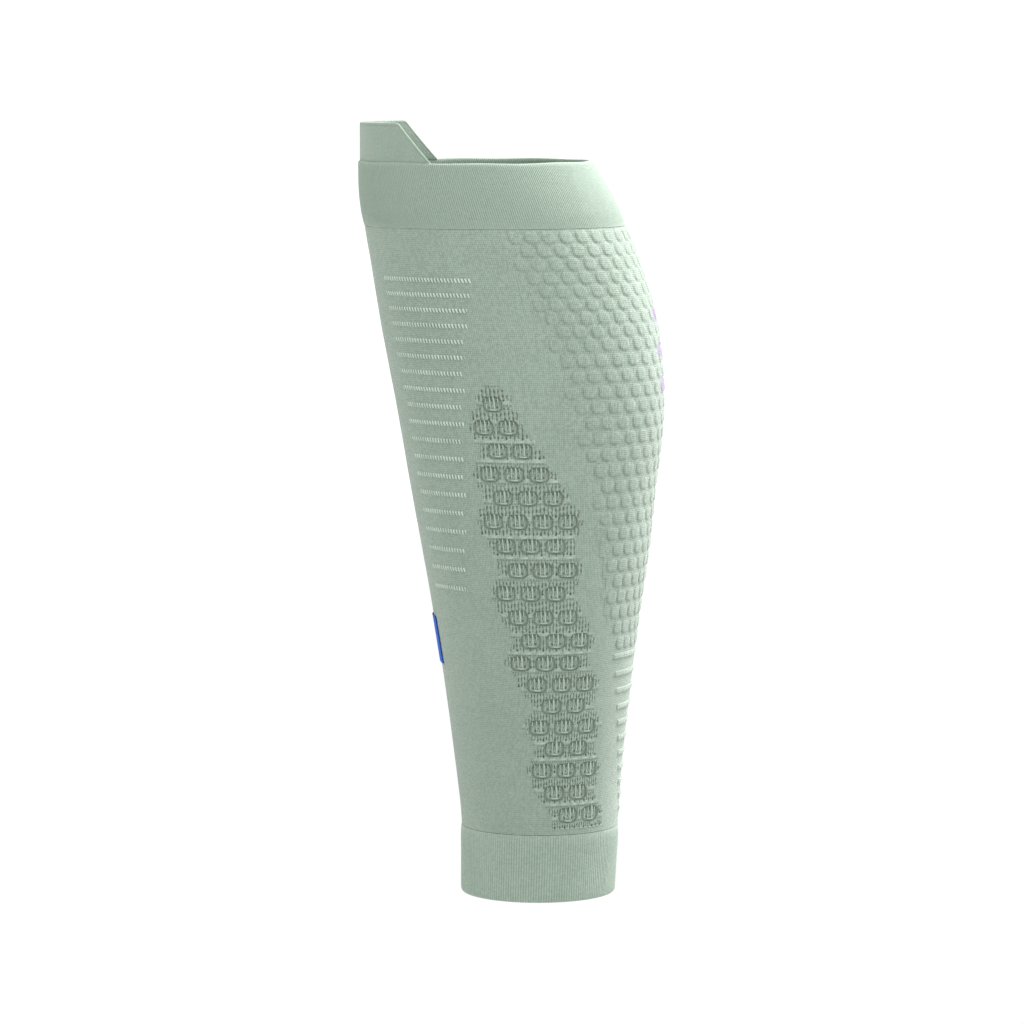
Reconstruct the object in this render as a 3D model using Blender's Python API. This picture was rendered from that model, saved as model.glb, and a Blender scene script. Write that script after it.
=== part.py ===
"""Calf compression sleeve in the form that it has on the leg, built as its knitted zones.

Metres, with +Z up the leg, -Y towards the shin, +Y towards the calf and +X to the outer side.
The origin is the middle of the ankle opening. All zones lie on one leg form, a stack of
egg-shaped sections. A point of the knit is named by its share of the way round and its
height: share 0 is the middle of the shin and share 1 the middle of the calf, positive shares
run over the outer side and negative ones over the inner side.
"""

import bisect
import functools
import math

import bmesh
import bpy
from mathutils import Vector
from mathutils.geometry import delaunay_2d_cdt

# Sleeve, over the plain knit
SLEEVE_HEIGHT = 0.332
CALF_DEPTH = 0.125
CALF_WIDTH = 0.104
FULLEST_SHARE = 0.72

# Fabric
KNIT_WALL = 0.0012
CUFF_RISE = 0.0006
EDGE_ROUND = 0.0006
ZONE_GAP = 0.0003

# Cuffs
KNEE_CUFF_HEIGHT = 0.0288
ANKLE_CUFF_HEIGHT = 0.0305

# Knee tab, with its half widths as shares of the way round
TAB_HEIGHT = 0.0176
TAB_FOOT_SHARE = 0.371
TAB_HEAD_SHARE = 0.262
TAB_CORNER = 0.0012

# Shin ridges, in two columns beside the shin bone. Like the rest of the pattern, they are
# placed by shares of the way up the body, from the ankle cuff to the knee cuff.
SHIN_RIDGE_COUNT = 19
SHIN_RIDGE_TALL = 0.0021
SHIN_RIDGE_RISE = 0.0007
SHIN_RIDGE_START = 0.126
SHIN_RIDGE_TOP = 0.921
SHIN_RIDGE_FOOT = 0.413
SHIN_RIDGE_SPREAD = 0.15

# Tendon ridges, each across the middle of the back, with half widths as shares of the way
# round
TENDON_RIDGE_COUNT = 11
TENDON_RIDGE_TALL = 0.0026
TENDON_RIDGE_RISE = 0.0009
TENDON_RIDGE_TOP = 0.294
TENDON_RIDGE_FOOT = 0.029
TENDON_RIDGE_SPREAD = -0.14
TENDON_HALF_TOP = 0.232
TENDON_HALF_FOOT = 0.067

# Bubbles over the calf muscle
BUBBLE_ROWS = 29
BUBBLE_RISE = 0.0011
BUBBLE_PITCH_SHARE = 0.047
BUBBLE_TOP = 0.990
BUBBLE_FOOT = 0.322
BUBBLE_SPREAD = 0.084
BUBBLE_STRIP = 0.0004

# Net of a vent: where its first row of cells is, how far they repeat round the fullest part
# of the calf, and the strips of knit between the cells, round them and under them
NET_TOP = 0.7185
CELL_PITCH_SHARE = 0.0631
STRIP_ACROSS = 0.0029
STRIP_DOWN = 0.0037
NET_BORDER = 0.0016
NET_FOOT_STRIP = 0.0038
CELL_CORNER = 0.62

# Label printed on the shin
LABEL_WIDTH = 0.0210
LABEL_TALL = 0.0220
LABEL_THICKNESS = 0.0004
LABEL_MIDDLE = 0.320

# How finely the round forms are faceted
CUFF_COLUMNS = 44
OUTER_FACET = 0.014
INNER_FACET = 0.017
EDGE_FACET = 0.010
LABEL_FACET = 0.005
SECTION_STEPS = 120
CREASE = math.radians(25)
MERGE = 1e-6

# Leg form. height is a share of the sleeve's height, front and back are places along Y as
# shares of the calf's depth, width is a share of the calf's width, and widest says how far
# back the section is widest, as a share of its own depth.
LEG_SECTIONS = [
    # height, front, back, width, widest
    (0.000, -0.275, 0.276, 0.660, 0.50),
    (0.098, -0.278, 0.292, 0.665, 0.50),
    (0.185, -0.303, 0.308, 0.705, 0.50),
    (0.306, -0.346, 0.343, 0.805, 0.51),
    (0.426, -0.398, 0.378, 0.905, 0.52),
    (0.547, -0.456, 0.411, 0.970, 0.53),
    (0.667, -0.511, 0.443, 1.000, 0.54),
    (0.773, -0.564, 0.421, 1.000, 0.54),
    (0.863, -0.603, 0.358, 0.985, 0.53),
    (0.908, -0.623, 0.319, 0.965, 0.52),
    (0.956, -0.640, 0.261, 0.935, 0.51),
    (1.000, -0.643, 0.190, 0.890, 0.50),
]

# Net cells of one vent, from the top row down
NET_CHART = [
    # first cell's share of the way round, number of cells
    (0.403, 1),
    (0.374, 2),
    (0.407, 2),
    (0.382, 3),
    (0.416, 3),
    (0.384, 4),
    (0.415, 3),
    (0.446, 3),
    (0.406, 3),
    (0.441, 3),
    (0.472, 3),
    (0.441, 3),
    (0.494, 3),
    (0.540, 2),
    (0.494, 3),
    (0.550, 2),
    (0.510, 3),
    (0.558, 2),
    (0.615, 2),
]

# Front edge of the bubble zone on either side, from its foot up
BUBBLE_EDGE = [
    # share of the way up the body, share of the way round
    (0.304, 0.728),
    (0.375, 0.712),
    (0.497, 0.672),
    (0.643, 0.612),
    (0.790, 0.566),
    (0.900, 0.528),
    (1.000, 0.500),
]

# Back ends of the shin ridges on either side
SHIN_RIDGE_ENDS = [
    # share of the way up the body, share of the way round
    (0.411, 0.276),
    (0.564, 0.306),
    (0.683, 0.318),
    (0.793, 0.345),
    (0.871, 0.381),
    (0.921, 0.409),
]

BODY_LOW = ANKLE_CUFF_HEIGHT + ZONE_GAP
BODY_HIGH = SLEEVE_HEIGHT - KNEE_CUFF_HEIGHT - ZONE_GAP


def up_body(share):
    """The height at a share of the way up the body."""
    return BODY_LOW + (BODY_HIGH - BODY_LOW) * share


def row_share(top, foot, spread, row, count):
    """The share of one of a count of rows from top to foot, whose steps widen by a spread."""
    down = row / (count - 1)
    return top - (top - foot) * (down * (1 - spread) + down * down * spread)


def table_value(table, column, place):
    """A column of a table at a place in its first column, on a smooth curve through it."""
    places = [row[0] for row in table]
    values = [row[column] for row in table]
    place = min(max(place, places[0]), places[-1])
    low = min(max(bisect.bisect_right(places, place) - 1, 0), len(table) - 2)

    def slope(index):
        before, after = max(index - 1, 0), min(index + 1, len(table) - 1)
        return (values[after] - values[before]) / (places[after] - places[before])

    step = places[low + 1] - places[low]
    t = (place - places[low]) / step
    start = (2 * t**3 - 3 * t**2 + 1) * values[low] + (t**3 - 2 * t**2 + t) * step * slope(low)
    end = (3 * t**2 - 2 * t**3) * values[low + 1] + (t**3 - t**2) * step * slope(low + 1)
    return start + end


@functools.lru_cache(maxsize=None)
def leg_section(height):
    """Half of the section at a height: its half width, its middle, its reach to the front and
    the back, and the distance round it from the shin at equal steps of its angle."""
    share = height / SLEEVE_HEIGHT
    front = table_value(LEG_SECTIONS, 1, share) * CALF_DEPTH
    back = table_value(LEG_SECTIONS, 2, share) * CALF_DEPTH
    half_width = table_value(LEG_SECTIONS, 3, share) * CALF_WIDTH / 2
    middle = front + (back - front) * table_value(LEG_SECTIONS, 4, share)
    runs = []
    for step in range(SECTION_STEPS + 1):
        angle = math.pi * step / SECTION_STEPS
        reach = middle - front if angle < math.pi / 2 else back - middle
        point = (half_width * math.sin(angle), middle - reach * math.cos(angle))
        runs.append(runs[-1] + math.dist(point, last) if runs else 0.0)
        last = point
    return half_width, middle, middle - front, back - middle, runs


def half_girth(height):
    """The distance from the middle of the shin to the middle of the calf at a height."""
    return leg_section(height)[-1][-1]


def knit_point(share, height, lift):
    """A point of the knit, lifted off the plain knit's outer face by a distance."""
    if share > 1:
        share -= 2
    side = -1 if share < 0 else 1
    half_width, middle, front_reach, back_reach, runs = leg_section(height)
    run = abs(share) * runs[-1]
    step = min(bisect.bisect_right(runs, run) - 1, SECTION_STEPS - 1)
    part = (run - runs[step]) / (runs[step + 1] - runs[step])
    angle = math.pi * (step + part) / SECTION_STEPS
    reach = front_reach if angle < math.pi / 2 else back_reach
    across, along = math.sin(angle), -math.cos(angle)
    out = Vector((across / half_width, along / reach)).normalized() * lift
    return Vector((side * (half_width * across + out.x), middle + reach * along + out.y, height))


# The zones are drawn on a flat pattern as wide as the calf is round at its fullest, with the
# distance from the shin across it and the height up it
FLAT_HALF = half_girth(FULLEST_SHARE * SLEEVE_HEIGHT)


def flat(share, height):
    """A point of the flat pattern."""
    return (share * FLAT_HALF, height)


def mirrored(polygon):
    """The same polygon of the flat pattern on the leg's other side."""
    return [(2 * FLAT_HALF - u, height) for u, height in reversed(polygon)]


def straight(start, end, longest):
    """Points from start to end, both among them, no further apart than a length."""
    pieces = max(1, math.ceil(math.dist(start, end) / longest - MERGE))
    steps = [(b - a) / pieces for a, b in zip(start, end)]
    places = [tuple(a + n * step for a, step in zip(start, steps)) for n in range(pieces)]
    return places + [end]


def subdivided(polygon, longest):
    """The same closed polygon with no edge longer than a length."""
    points = []
    for start, end in zip(polygon, polygon[1:] + polygon[:1]):
        points += straight(start, end, longest)[:-1]
    return points


def grown(polygon, distance):
    """A counter-clockwise polygon with each edge moved out by a distance."""
    points = []
    for before, here, after in zip(polygon[-1:] + polygon[:-1], polygon, polygon[1:] + polygon[:1]):
        outs = []
        for start, end in ((before, here), (here, after)):
            outs.append(Vector((end[1] - start[1], start[0] - end[0])).normalized())
        out = (outs[0] + outs[1]).normalized()
        reach = distance / out.dot(outs[1])
        points.append((here[0] + out.x * reach, here[1] + out.y * reach))
    return points


def inside(point, polygon):
    """Whether a point lies in a polygon, by the edges that a line to its right crosses."""
    x, y = point
    odd = False
    for (x0, y0), (x1, y1) in zip(polygon, polygon[1:] + polygon[:1]):
        if (y0 > y) != (y1 > y) and x < (x1 - x0) * (y - y0) / (y1 - y0) + x0:
            odd = not odd
    return odd


class Area:
    """A polygon that points are tested against, with its bounding box for a quick answer."""

    def __init__(self, polygon):
        self.polygon = polygon
        across, up = zip(*polygon)
        self.low = (min(across), min(up))
        self.high = (max(across), max(up))

    def in_box(self, point, margin):
        bounds = zip(point, self.low, self.high)
        return all(low - margin <= place <= high + margin for place, low, high in bounds)

    def holds(self, point):
        return self.in_box(point, 0.0) and inside(point, self.polygon)

    def has_corner_near(self, point, distance):
        if not self.in_box(point, distance):
            return False
        return any(math.dist(point, corner) < distance for corner in self.polygon)


class Sheet:
    """A zone of the flat pattern: its outline, its holes, and its reliefs, which are points
    with edges between them, a lift each, and the polygon that they fill."""

    def __init__(self, outline, holes=()):
        self.outline = outline
        self.holes = list(holes)
        self.reliefs = []

    def loops(self):
        return [self.outline, *self.holes]

    def filling(self, facet, covers):
        """Staggered points in the open stretches of the zone, a facet apart."""
        zone = Area(self.outline)
        (left, low), (right, high) = zone.low, zone.high
        rows, columns = max(1, round((high - low) / facet)), max(1, round((right - left) / facet))
        room = facet * 0.45
        for row in range(1, rows):
            for column in range(columns):
                along = (column + 0.25 + 0.5 * (row % 2)) / columns
                place = (left + (right - left) * along, low + (high - low) * row / rows)
                if not zone.holds(place) or zone.has_corner_near(place, room):
                    continue
                if not any(area.holds(place) or area.has_corner_near(place, room) for area in covers):
                    yield place

    def triangles(self, facet, with_relief):
        """The zone cut into triangles: its points, their lifts, the triangles, and for each
        point which corners of the zone's loops it is."""
        points, edges, lifts = [], [], []
        for loop in self.loops():
            first, size = len(points), len(loop)
            points += loop
            lifts += [0.0] * size
            edges += [(first + index, first + (index + 1) % size) for index in range(size)]
        covers = [Area(hole) for hole in self.holes]
        for relief_points, relief_edges, relief_lifts, cover in self.reliefs if with_relief else []:
            first = len(points)
            points += relief_points
            lifts += relief_lifts
            edges += [(first + a, first + b) for a, b in relief_edges]
            covers.append(Area(cover))
        for place in self.filling(facet, covers):
            points.append(place)
            lifts.append(0.0)
        made = delaunay_2d_cdt([Vector(p) for p in points], edges, [], 0, MERGE)
        places, faces, sources = [tuple(p) for p in made[0]], made[2], made[3]
        place_of = {source: place for place, group in zip(places, sources) for source in group}
        bounds, first = [], 0
        for loop in self.loops():
            bounds.append(Area([place_of[first + index] for index in range(len(loop))]))
            first += len(loop)
        kept = []
        for face in faces:
            middle = [sum(places[index][axis] for index in face) / len(face) for axis in (0, 1)]
            if bounds[0].holds(middle) and not any(hole.holds(middle) for hole in bounds[1:]):
                kept.append(face)
        point_lifts = [max((lifts[source] for source in group), default=0.0) for group in sources]
        return places, point_lifts, kept, sources


def closes_pattern(start, end):
    """Whether an edge of an outline lies on the middle of the shin, where the body's pattern
    meets itself."""
    return any(start[0] == end[0] == u for u in (0.0, 2 * FLAT_HALF))


def knit_solid(name, sheet, outer_lift, inner_lift, material, outer_facet, inner_facet):
    """A closed solid: the sheet with its relief as the outer face, a plain inner face, and
    walls along the outline and the holes."""
    mesh = bmesh.new()

    def face_of_knit(with_relief, face_lift, facet):
        places, lifts, faces, sources = sheet.triangles(facet, with_relief)
        made, corners = {}, {}
        for face in faces:
            for index in face:
                if index not in made:
                    u, height = places[index]
                    point = knit_point(u / FLAT_HALF, height, face_lift + lifts[index])
                    made[index] = mesh.verts.new(point)
                    corners.update((source, made[index]) for source in sources[index])
            mesh.faces.new([made[index] for index in face])
        return corners

    outer = face_of_knit(True, outer_lift, outer_facet)
    inner = face_of_knit(False, inner_lift, inner_facet)
    first = 0
    for loop in sheet.loops():
        for index, start in enumerate(loop):
            following = (index + 1) % len(loop)
            if not closes_pattern(start, loop[following]):
                a, b = first + index, first + following
                mesh.faces.new((outer[a], inner[a], inner[b], outer[b]))
        first += len(loop)
    bmesh.ops.remove_doubles(mesh, verts=mesh.verts, dist=MERGE)
    return finished(name, mesh, material)


def finished(name, mesh, material):
    """An object made of a closed mesh, shaded smooth between its creases."""
    bmesh.ops.recalc_face_normals(mesh, faces=mesh.faces)
    data = bpy.data.meshes.new(name)
    mesh.to_mesh(data)
    mesh.free()
    data.materials.append(material)
    data.shade_smooth()
    data.set_sharp_from_angle(angle=CREASE)
    made = bpy.data.objects.new(name, data)
    bpy.context.scene.collection.objects.link(made)
    return made


def fabric(name, colour, roughness):
    material = bpy.data.materials.new(name)
    material.use_nodes = True
    shader = material.node_tree.nodes["Principled BSDF"]
    shader.inputs["Base Color"].default_value = (*colour, 1)
    shader.inputs["Roughness"].default_value = roughness
    shader.inputs["Metallic"].default_value = 0
    return material


def cuff(name, low, high, material):
    """A ribbed band: a ring that stands proud of the body, with its free edges rounded."""
    inner, outer = -KNIT_WALL, CUFF_RISE
    edge = min(EDGE_ROUND, (outer - inner) / 3)
    profile = [
        (low, inner + edge),
        (low, outer - edge),
        (low + edge, outer),
        ((low + high) / 2, outer),
        (high - edge, outer),
        (high, outer - edge),
        (high, inner + edge),
        (high - edge, inner),
        ((low + high) / 2, inner),
        (low + edge, inner),
    ]
    mesh = bmesh.new()
    rings = []
    for height, lift in profile:
        shares = [1 - 2 * column / CUFF_COLUMNS for column in range(CUFF_COLUMNS)]
        rings.append([mesh.verts.new(knit_point(share, height, lift)) for share in shares])
    for ring, next_ring in zip(rings, rings[1:] + rings[:1]):
        for column in range(CUFF_COLUMNS):
            across = (column + 1) % CUFF_COLUMNS
            mesh.faces.new((ring[column], ring[across], next_ring[across], next_ring[column]))
    return finished(name, mesh, material)


def knee_tab(material):
    """The pull tab: a trapezoid that stands on the front of the knee cuff's rim."""
    foot, head = SLEEVE_HEIGHT + ZONE_GAP, SLEEVE_HEIGHT + TAB_HEIGHT
    corner_share = TAB_CORNER / half_girth(SLEEVE_HEIGHT)
    outer_half = [
        (TAB_FOOT_SHARE, foot),
        (TAB_HEAD_SHARE + corner_share, head - TAB_CORNER),
        (TAB_HEAD_SHARE - corner_share, head),
    ]
    inner_half = [(-share, height) for share, height in reversed(outer_half)]
    outline = [flat(share, height) for share, height in outer_half + inner_half]
    sheet = Sheet(subdivided(outline, EDGE_FACET))
    return knit_solid("knee_tab", sheet, 0.0, -KNIT_WALL, material, OUTER_FACET, INNER_FACET)


def net_rows():
    """The rows of cells of the outer side's vent, from the top: each row's height, its cells'
    half width and half height, and their middles."""
    pitch = CELL_PITCH_SHARE * FLAT_HALF
    top = up_body(NET_TOP)
    drop = top - BODY_LOW - NET_FOOT_STRIP - NET_BORDER + STRIP_DOWN / 2
    pitch_down = drop / (len(NET_CHART) - 0.5)
    half_tall = (pitch_down - STRIP_DOWN) / 2
    rows = []
    for row, (first_share, count) in enumerate(NET_CHART):
        height = top - row * pitch_down
        stretch = FLAT_HALF / half_girth(height)
        half_wide = (pitch - STRIP_ACROSS) / 2 * stretch
        middles = [first_share * FLAT_HALF + cell * pitch * stretch for cell in range(count)]
        rows.append((height, half_wide, half_tall, middles))
    return rows


def vent_outline():
    """The outer side's vent, counter-clockwise: a border round its rows of cells."""
    rows = net_rows()
    front = [(cells[0] - half_wide - NET_BORDER, height) for height, half_wide, _, cells in rows]
    back = [(cells[-1] + half_wide + NET_BORDER, height) for height, half_wide, _, cells in rows]
    rise = rows[0][2] + NET_BORDER
    foot = [(u, front[-1][1] - rise) for u in (front[-1][0] + NET_BORDER, back[-1][0] - NET_BORDER)]
    head = [(u, front[0][1] + rise) for u in (back[0][0] - NET_BORDER, front[0][0] + NET_BORDER)]
    return subdivided(front + foot + back[::-1] + head, EDGE_FACET)


def net_cells():
    """The open cells of the outer side's vent, each a hole with six corners."""
    upper = [(1, 0), (CELL_CORNER, 1), (-CELL_CORNER, 1)]
    corners = upper + [(-x, -y) for x, y in upper]
    cells = []
    for height, half_wide, half_tall, middles in net_rows():
        for middle in middles:
            cells.append([(middle + x * half_wide, height + y * half_tall) for x, y in corners])
    return cells


def vent(name, outline, cells, material):
    """A vent: an open net that fills its window in the body."""
    sheet = Sheet(outline, cells)
    return knit_solid(name, sheet, 0.0, -KNIT_WALL, material, OUTER_FACET, INNER_FACET)


def bubble_zone():
    """The bubble zone in the flat pattern, counter-clockwise from its top front corner."""
    edge = [flat(share, up_body(height)) for height, share in reversed(BUBBLE_EDGE)]
    return subdivided(edge + mirrored(edge), EDGE_FACET)


def bubble_panel(material):
    """The padded zone over the calf: staggered bubbles that meet in valleys with six sides."""
    outline = bubble_zone()
    zone = Area(outline)
    sheet = Sheet(outline)
    shares = (BUBBLE_TOP, BUBBLE_FOOT, BUBBLE_SPREAD)
    heights = [up_body(row_share(*shares, row, BUBBLE_ROWS)) for row in range(-1, BUBBLE_ROWS + 1)]
    half = BUBBLE_PITCH_SHARE / 2
    reach = math.ceil(1 / BUBBLE_PITCH_SHARE)
    highest = BODY_HIGH - BUBBLE_STRIP
    ring = [(corner, (corner + 1) % 6) for corner in range(6)]
    spokes = [(corner, 6) for corner in range(6)]
    for row in range(1, BUBBLE_ROWS + 1):
        height = heights[row]
        above, below = heights[row - 1] - height, height - heights[row + 1]
        rise_top = min(above * 2 / 3, highest - height)
        rise_side = min(above / 3, rise_top / 2)
        for column in range(-reach, reach + 1):
            middle = 1 + (2 * column + row % 2) * half
            valley = [
                flat(middle - half, height - below / 3),
                flat(middle, height - below * 2 / 3),
                flat(middle + half, height - below / 3),
                flat(middle + half, height + rise_side),
                flat(middle, height + rise_top),
                flat(middle - half, height + rise_side),
            ]
            if all(zone.holds(corner) for corner in valley):
                points = valley + [flat(middle, height)]
                lifts = [0.0] * 6 + [BUBBLE_RISE]
                sheet.reliefs.append((points, ring + spokes, lifts, valley))
    name = "calf_bubble_panel"
    return knit_solid(name, sheet, 0.0, -KNIT_WALL, material, OUTER_FACET, INNER_FACET)


def add_ridge(sheet, start_share, end_share, height, tall, rise):
    """Raises a bar along one row of the knit: its foot on the sheet and a narrower top."""
    start, end = start_share * FLAT_HALF, end_share * FLAT_HALF
    pieces = max(2, round((end - start) / OUTER_FACET))
    points, edges = [], []
    for inset in (0.0, min(rise, tall / 3)):
        half = tall / 2 - inset
        places = [start + (end - start) * piece / pieces for piece in range(pieces + 1)]
        places[0] += inset
        places[-1] -= inset
        first, size = len(points), 2 * len(places)
        points += [(u, height - half) for u in places] + [(u, height + half) for u in places[::-1]]
        edges += [(first + index, first + (index + 1) % size) for index in range(size)]
    lifts = [0.0] * size + [rise] * size
    sheet.reliefs.append((points, edges, lifts, points[:size]))


def add_shin_ridges(sheet):
    """Raises the ridges over the shin muscle, in a column on each side of the bone."""
    shares = (SHIN_RIDGE_TOP, SHIN_RIDGE_FOOT, SHIN_RIDGE_SPREAD)
    for row in range(SHIN_RIDGE_COUNT):
        share = row_share(*shares, row, SHIN_RIDGE_COUNT)
        end = table_value(SHIN_RIDGE_ENDS, 1, share)
        sizes = (up_body(share), SHIN_RIDGE_TALL, SHIN_RIDGE_RISE)
        add_ridge(sheet, SHIN_RIDGE_START, end, *sizes)
        add_ridge(sheet, 2 - end, 2 - SHIN_RIDGE_START, *sizes)


def add_tendon_ridges(sheet):
    """Raises the ridges over the tendon, shorter towards the ankle."""
    shares = (TENDON_RIDGE_TOP, TENDON_RIDGE_FOOT, TENDON_RIDGE_SPREAD)
    for row in range(TENDON_RIDGE_COUNT):
        share = row_share(*shares, row, TENDON_RIDGE_COUNT)
        down = row / (TENDON_RIDGE_COUNT - 1)
        half = TENDON_HALF_TOP + (TENDON_HALF_FOOT - TENDON_HALF_TOP) * down
        add_ridge(sheet, 1 - half, 1 + half, up_body(share), TENDON_RIDGE_TALL, TENDON_RIDGE_RISE)


def sleeve_body(material):
    """The plain knit between the cuffs, with its ridges, open where the vents and the bubble
    zone are knitted in. Its pattern meets itself along the middle of the shin."""
    width = 2 * FLAT_HALF
    zone = grown(bubble_zone(), ZONE_GAP)
    notch = min(u for u, _ in zone)
    window = [(u, height) for u, height in zone if height < BODY_HIGH - ZONE_GAP]
    seam = straight((width, BODY_LOW), (width, BODY_HIGH), OUTER_FACET)
    outline = straight((0.0, BODY_LOW), (width, BODY_LOW), EDGE_FACET)[:-1] + seam
    outline += straight((width, BODY_HIGH), (width - notch, BODY_HIGH), EDGE_FACET)[1:]
    outline += window[::-1]
    outline += straight((notch, BODY_HIGH), (0.0, BODY_HIGH), EDGE_FACET)
    outline += [(0.0, height) for _, height in seam[-2:0:-1]]
    outer_vent = vent_outline()
    sheet = Sheet(outline, [grown(shape, ZONE_GAP) for shape in (outer_vent, mirrored(outer_vent))])
    add_shin_ridges(sheet)
    add_tendon_ridges(sheet)
    return knit_solid("sleeve_body", sheet, 0.0, -KNIT_WALL, material, OUTER_FACET, INNER_FACET)


def shin_label(material):
    """A plain label on the middle of the shin, a small gap off the body."""
    height = up_body(LABEL_MIDDLE)
    half = LABEL_WIDTH / 2 / half_girth(height)
    low, high = height - LABEL_TALL / 2, height + LABEL_TALL / 2
    outline = [flat(-half, low), flat(half, low), flat(half, high), flat(-half, high)]
    sheet = Sheet(subdivided(outline, LABEL_FACET))
    face = ZONE_GAP + LABEL_THICKNESS
    return knit_solid("shin_label", sheet, face, ZONE_GAP, material, LABEL_FACET, LABEL_FACET)


def build():
    for made in list(bpy.data.objects):
        bpy.data.objects.remove(made)
    knit = fabric("sage_knit", (0.30, 0.40, 0.32), 0.85)
    ribbed = fabric("sage_rib", (0.28, 0.38, 0.30), 0.85)
    net = fabric("sage_net", (0.24, 0.33, 0.26), 0.90)
    padded = fabric("sage_bubbles", (0.36, 0.46, 0.38), 0.85)
    printed = fabric("blue_print", (0.01, 0.08, 0.38), 0.50)
    cuff("ankle_cuff", 0.0, ANKLE_CUFF_HEIGHT, ribbed)
    sleeve_body(knit)
    bubble_panel(padded)
    vent("vent_outer", vent_outline(), net_cells(), net)
    vent("vent_inner", mirrored(vent_outline()), [mirrored(cell) for cell in net_cells()], net)
    cuff("knee_cuff", SLEEVE_HEIGHT - KNEE_CUFF_HEIGHT, SLEEVE_HEIGHT, ribbed)
    knee_tab(ribbed)
    shin_label(printed)


build()
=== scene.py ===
import math

import bpy
import numpy as np
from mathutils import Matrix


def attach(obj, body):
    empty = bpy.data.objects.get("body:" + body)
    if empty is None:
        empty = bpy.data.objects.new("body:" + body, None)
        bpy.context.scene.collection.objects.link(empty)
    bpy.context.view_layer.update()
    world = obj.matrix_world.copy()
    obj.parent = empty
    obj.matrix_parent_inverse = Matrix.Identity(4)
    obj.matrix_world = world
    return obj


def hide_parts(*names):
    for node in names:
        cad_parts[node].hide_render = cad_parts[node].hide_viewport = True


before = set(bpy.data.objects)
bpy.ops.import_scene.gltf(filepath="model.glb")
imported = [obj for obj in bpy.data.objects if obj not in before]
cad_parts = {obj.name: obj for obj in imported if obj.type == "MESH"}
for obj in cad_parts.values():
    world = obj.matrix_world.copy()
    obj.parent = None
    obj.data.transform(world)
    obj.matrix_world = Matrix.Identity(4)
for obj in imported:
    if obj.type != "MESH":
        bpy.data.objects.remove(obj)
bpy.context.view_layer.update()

# Ankle cuff
# The ribbed band round the ankle, knitted in one with the sleeve from nylon over elastane.
# Its hem is a turned edge with a rounded lip, and its ribs run up the leg.
SLEEVE_HEIGHT = 0.332
CALF_DEPTH = 0.125
CALF_WIDTH = 0.104
KNIT_WALL = 0.0012
CUFF_RISE = 0.0006
ANKLE_CUFF_HEIGHT = 0.0305
ANKLE_RIBS = 188
SAGE = (0.243, 0.317, 0.256)
# The dark sage that painted shade mixes the knit toward
SAGE_SHADE = (0.088, 0.122, 0.094)

LEG_SECTIONS = [
    # height, front, back, width, widest
    (0.000, -0.275, 0.276, 0.660, 0.50),
    (0.098, -0.278, 0.292, 0.665, 0.50),
    (0.185, -0.303, 0.308, 0.705, 0.50),
    (0.306, -0.346, 0.343, 0.805, 0.51),
    (0.426, -0.398, 0.378, 0.905, 0.52),
    (0.547, -0.456, 0.411, 0.970, 0.53),
    (0.667, -0.511, 0.443, 1.000, 0.54),
    (0.773, -0.564, 0.421, 1.000, 0.54),
    (0.863, -0.603, 0.358, 0.985, 0.53),
    (0.908, -0.623, 0.319, 0.965, 0.52),
    (0.956, -0.640, 0.261, 0.935, 0.51),
    (1.000, -0.643, 0.190, 0.890, 0.50),
]


def leg_value(column, height):
    """A column of the leg's sections at a height, on a smooth curve through them."""
    places = [row[0] for row in LEG_SECTIONS]
    values = [row[column] for row in LEG_SECTIONS]
    place = min(max(height / SLEEVE_HEIGHT, 0.0), 1.0)
    low = max(index for index in range(len(places) - 1) if places[index] <= place)

    def slope(index):
        before, after = max(index - 1, 0), min(index + 1, len(places) - 1)
        return (values[after] - values[before]) / (places[after] - places[before])

    step = places[low + 1] - places[low]
    t = (place - places[low]) / step
    start = (2 * t**3 - 3 * t**2 + 1) * values[low] + (t**3 - 2 * t**2 + t) * step * slope(low)
    end = (3 * t**2 - 2 * t**3) * values[low + 1] + (t**3 - t**2) * step * slope(low + 1)
    return start + end


def leg_half(height):
    """Half of the leg's section at a height: its half width, its middle, its reach to the front
    and the back, half of its girth, and its angle at equal steps of the way round."""
    front, back = (CALF_DEPTH * leg_value(column, height) for column in (1, 2))
    half_width = CALF_WIDTH / 2 * leg_value(3, height)
    middle = front + (back - front) * leg_value(4, height)
    angles = np.linspace(0, math.pi, WAY_STEPS + 1)
    reach = np.where(angles < math.pi / 2, middle - front, back - middle)
    x, y = half_width * np.sin(angles), middle - reach * np.cos(angles)
    runs = np.concatenate(([0.0], np.cumsum(np.hypot(np.diff(x), np.diff(y)))))
    steps = np.interp(WAY_ROUND * runs[-1], runs, angles)
    return (half_width, middle, middle - front, back - middle, runs[-1]), steps


WAY_STEPS = 240
WAY_ROUND = np.linspace(0, 1, WAY_STEPS + 1)
LEG_STEP = 0.0005
LEG_HEIGHTS = np.arange(0, SLEEVE_HEIGHT + 0.03, LEG_STEP)
LEG_HALVES = [leg_half(height) for height in LEG_HEIGHTS]
LEG_FORM = np.array([form for form, steps in LEG_HALVES])
LEG_ANGLES = np.array([steps for form, steps in LEG_HALVES])


def half_girth(height):
    """The distance from the middle of the shin to the middle of the calf at a height."""
    return np.interp(height, LEG_HEIGHTS, LEG_FORM[:, 4])


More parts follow.
